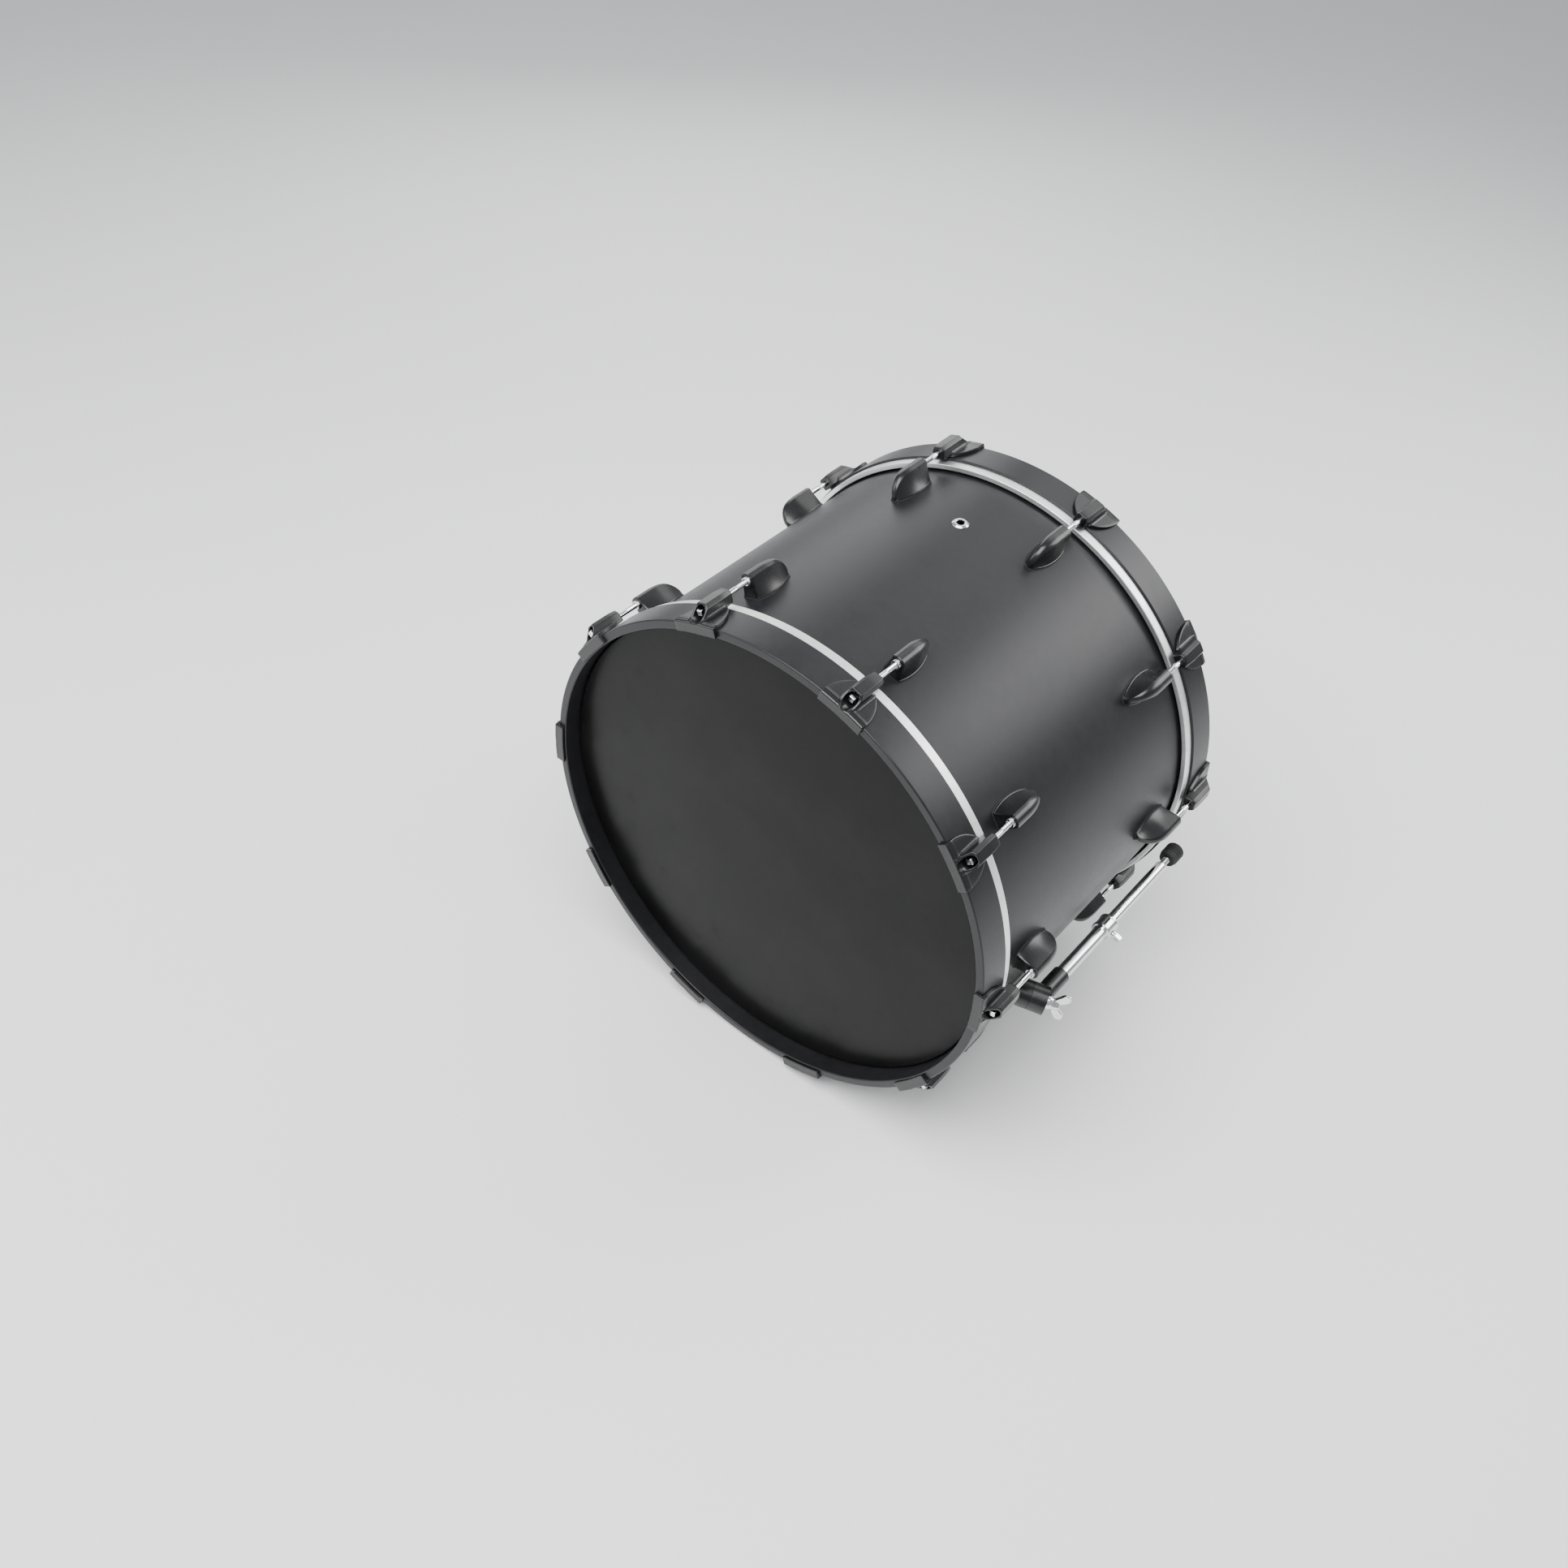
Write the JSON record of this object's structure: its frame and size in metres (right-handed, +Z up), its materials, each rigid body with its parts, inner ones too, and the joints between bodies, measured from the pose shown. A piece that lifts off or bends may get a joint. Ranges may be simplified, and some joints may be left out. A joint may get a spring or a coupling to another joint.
{
  "type": "bass drum",
  "caption": "Kit bass drum with black shell and hoops, aluminium head rings, claw hooks, key rods, single-ended lugs, a vent and two folding telescopic spurs.",
  "frame": {"origin": "on the floor, at the middle of the box around the drum, which stands level on its lowest claws with both spurs folded", "axes": "+Y along the drum's axis from the front head to the rear (pedal) head, +Z up with the vent at the top, +X to the right seen from in front"},
  "size_m": [0.6508, 0.4578, 0.5845],
  "materials": {
    "shell_lacquer": "satin black lacquer over maple ply",
    "hoop_lacquer": "satin black lacquer over maple ply",
    "head_film": "smooth black polyester film",
    "head_ring": "bare satin aluminium",
    "black_casting": "semi-gloss black powder coat on die-cast zinc",
    "chrome": "bright chrome plate on steel",
    "steel": "zinc-plated steel",
    "rubber": "matte black rubber",
    "nylon": "black nylon"
  },
  "bodies": {
    "drum": {"claw_pads": "rubber", "front_claws": "black_casting", "front_head_film": "head_film", "front_head_ring": "head_ring", "front_hoop": "hoop_lacquer", "front_lugs": "black_casting", "lug_gaskets": "rubber", "lug_screws": "steel", "rear_claws": "black_casting", "rear_head_film": "head_film", "rear_head_ring": "head_ring", "rear_hoop": "hoop_lacquer", "rear_lugs": "black_casting", "rod_washers": "nylon", "shell": "shell_lacquer", "spur_bracket_left": "black_casting", "spur_bracket_right": "black_casting", "spur_gaskets": "rubber", "spur_screws": "steel", "swivel_nuts": "chrome", "vent_eyelet": "chrome", "vent_washer": "steel"},
    "spur_left": {"spur_knuckle_left": "black_casting", "spur_tube_left": "chrome", "spur_lock_screw_left": "chrome"},
    "leg_left": {"spur_leg_left": "chrome", "spur_spike_left": "steel"},
    "foot_left": {"spur_foot_left": "rubber"},
    "wing_bolt_left": {"spur_wing_bolt_left": "chrome"},
    "spur_right": {"spur_knuckle_right": "black_casting", "spur_tube_right": "chrome", "spur_lock_screw_right": "chrome"},
    "leg_right": {"spur_leg_right": "chrome", "spur_spike_right": "steel"},
    "foot_right": {"spur_foot_right": "rubber"},
    "wing_bolt_right": {"spur_wing_bolt_right": "chrome"},
    "tension_rod_front_01": {"tension_rod_front_01": "chrome"},
    "tension_rod_front_02": {"tension_rod_front_02": "chrome"},
    "tension_rod_front_03": {"tension_rod_front_03": "chrome"},
    "tension_rod_front_04": {"tension_rod_front_04": "chrome"},
    "tension_rod_front_05": {"tension_rod_front_05": "chrome"},
    "tension_rod_front_06": {"tension_rod_front_06": "chrome"},
    "tension_rod_front_07": {"tension_rod_front_07": "chrome"},
    "tension_rod_front_08": {"tension_rod_front_08": "chrome"},
    "tension_rod_front_09": {"tension_rod_front_09": "chrome"},
    "tension_rod_front_10": {"tension_rod_front_10": "chrome"},
    "tension_rod_rear_01": {"tension_rod_rear_01": "chrome"},
    "tension_rod_rear_02": {"tension_rod_rear_02": "chrome"},
    "tension_rod_rear_03": {"tension_rod_rear_03": "chrome"},
    "tension_rod_rear_04": {"tension_rod_rear_04": "chrome"},
    "tension_rod_rear_05": {"tension_rod_rear_05": "chrome"},
    "tension_rod_rear_06": {"tension_rod_rear_06": "chrome"},
    "tension_rod_rear_07": {"tension_rod_rear_07": "chrome"},
    "tension_rod_rear_08": {"tension_rod_rear_08": "chrome"},
    "tension_rod_rear_09": {"tension_rod_rear_09": "chrome"},
    "tension_rod_rear_10": {"tension_rod_rear_10": "chrome"}
  },
  "joints": [
    {"name": "left_spur_fold", "type": "hinge", "parent": "drum", "child": "spur_left", "pos_m": [-0.29293, -0.095, 0.19706], "axis": [-0.9262, 0.3516, -0.1362], "range_deg": [0, 128.46]},
    {"name": "left_spur_extend", "type": "slide", "parent": "spur_left", "child": "leg_left", "axis": [0, 1, 0], "range_m": [0, 0.08]},
    {"name": "left_foot_screw_back", "type": "slide", "parent": "leg_left", "child": "foot_left", "axis": [0, -1, 0], "range_m": [0, 0.011]},
    {"name": "left_wing_bolt_turn", "type": "hinge", "parent": "drum", "child": "wing_bolt_left", "pos_m": [-0.29293, -0.095, 0.19706], "axis": [-0.9262, 0.3516, -0.1362], "continuous": true},
    {"name": "right_spur_fold", "type": "hinge", "parent": "drum", "child": "spur_right", "pos_m": [0.29293, -0.095, 0.19706], "axis": [-0.9262, -0.3516, 0.1362], "range_deg": [0, 128.46]},
    {"name": "right_spur_extend", "type": "slide", "parent": "spur_right", "child": "leg_right", "axis": [0, 1, 0], "range_m": [0, 0.08]},
    {"name": "right_foot_screw_back", "type": "slide", "parent": "leg_right", "child": "foot_right", "axis": [0, -1, 0], "range_m": [0, 0.011]},
    {"name": "right_wing_bolt_turn", "type": "hinge", "parent": "drum", "child": "wing_bolt_right", "pos_m": [0.29293, -0.095, 0.19706], "axis": [-0.9262, -0.3516, 0.1362], "continuous": true},
    {"name": "tension_rod_front_01_turn", "type": "hinge", "parent": "drum", "child": "tension_rod_front_01", "pos_m": [0.09192, -0.16225, 0.57514], "axis": [0, -1, 0], "continuous": true},
    {"name": "tension_rod_front_02_turn", "type": "hinge", "parent": "drum", "child": "tension_rod_front_02", "pos_m": [0.24065, -0.16225, 0.46708], "axis": [0, -1, 0], "continuous": true},
    {"name": "tension_rod_front_03_turn", "type": "hinge", "parent": "drum", "child": "tension_rod_front_03", "pos_m": [0.29746, -0.16225, 0.29224], "axis": [0, -1, 0], "continuous": true},
    {"name": "tension_rod_front_04_turn", "type": "hinge", "parent": "drum", "child": "tension_rod_front_04", "pos_m": [0.24065, -0.16225, 0.11739], "axis": [0, -1, 0], "continuous": true},
    {"name": "tension_rod_front_05_turn", "type": "hinge", "parent": "drum", "child": "tension_rod_front_05", "pos_m": [0.09192, -0.16225, 0.00934], "axis": [0, -1, 0], "continuous": true},
    {"name": "tension_rod_front_06_turn", "type": "hinge", "parent": "drum", "child": "tension_rod_front_06", "pos_m": [-0.09192, -0.16225, 0.00934], "axis": [0, -1, 0], "continuous": true},
    {"name": "tension_rod_front_07_turn", "type": "hinge", "parent": "drum", "child": "tension_rod_front_07", "pos_m": [-0.24065, -0.16225, 0.11739], "axis": [0, -1, 0], "continuous": true},
    {"name": "tension_rod_front_08_turn", "type": "hinge", "parent": "drum", "child": "tension_rod_front_08", "pos_m": [-0.29746, -0.16225, 0.29224], "axis": [0, -1, 0], "continuous": true},
    {"name": "tension_rod_front_09_turn", "type": "hinge", "parent": "drum", "child": "tension_rod_front_09", "pos_m": [-0.24065, -0.16225, 0.46708], "axis": [0, -1, 0], "continuous": true},
    {"name": "tension_rod_front_10_turn", "type": "hinge", "parent": "drum", "child": "tension_rod_front_10", "pos_m": [-0.09192, -0.16225, 0.57514], "axis": [0, -1, 0], "continuous": true},
    {"name": "tension_rod_rear_01_turn", "type": "hinge", "parent": "drum", "child": "tension_rod_rear_01", "pos_m": [0.09192, 0.16225, 0.57514], "axis": [0, 1, 0], "continuous": true},
    {"name": "tension_rod_rear_02_turn", "type": "hinge", "parent": "drum", "child": "tension_rod_rear_02", "pos_m": [0.24065, 0.16225, 0.46708], "axis": [0, 1, 0], "continuous": true},
    {"name": "tension_rod_rear_03_turn", "type": "hinge", "parent": "drum", "child": "tension_rod_rear_03", "pos_m": [0.29746, 0.16225, 0.29224], "axis": [0, 1, 0], "continuous": true},
    {"name": "tension_rod_rear_04_turn", "type": "hinge", "parent": "drum", "child": "tension_rod_rear_04", "pos_m": [0.24065, 0.16225, 0.11739], "axis": [0, 1, 0], "continuous": true},
    {"name": "tension_rod_rear_05_turn", "type": "hinge", "parent": "drum", "child": "tension_rod_rear_05", "pos_m": [0.09192, 0.16225, 0.00934], "axis": [0, 1, 0], "continuous": true},
    {"name": "tension_rod_rear_06_turn", "type": "hinge", "parent": "drum", "child": "tension_rod_rear_06", "pos_m": [-0.09192, 0.16225, 0.00934], "axis": [0, 1, 0], "continuous": true},
    {"name": "tension_rod_rear_07_turn", "type": "hinge", "parent": "drum", "child": "tension_rod_rear_07", "pos_m": [-0.24065, 0.16225, 0.11739], "axis": [0, 1, 0], "continuous": true},
    {"name": "tension_rod_rear_08_turn", "type": "hinge", "parent": "drum", "child": "tension_rod_rear_08", "pos_m": [-0.29746, 0.16225, 0.29224], "axis": [0, 1, 0], "continuous": true},
    {"name": "tension_rod_rear_09_turn", "type": "hinge", "parent": "drum", "child": "tension_rod_rear_09", "pos_m": [-0.24065, 0.16225, 0.46708], "axis": [0, 1, 0], "continuous": true},
    {"name": "tension_rod_rear_10_turn", "type": "hinge", "parent": "drum", "child": "tension_rod_rear_10", "pos_m": [-0.09192, 0.16225, 0.57514], "axis": [0, 1, 0], "continuous": true}
  ]
}
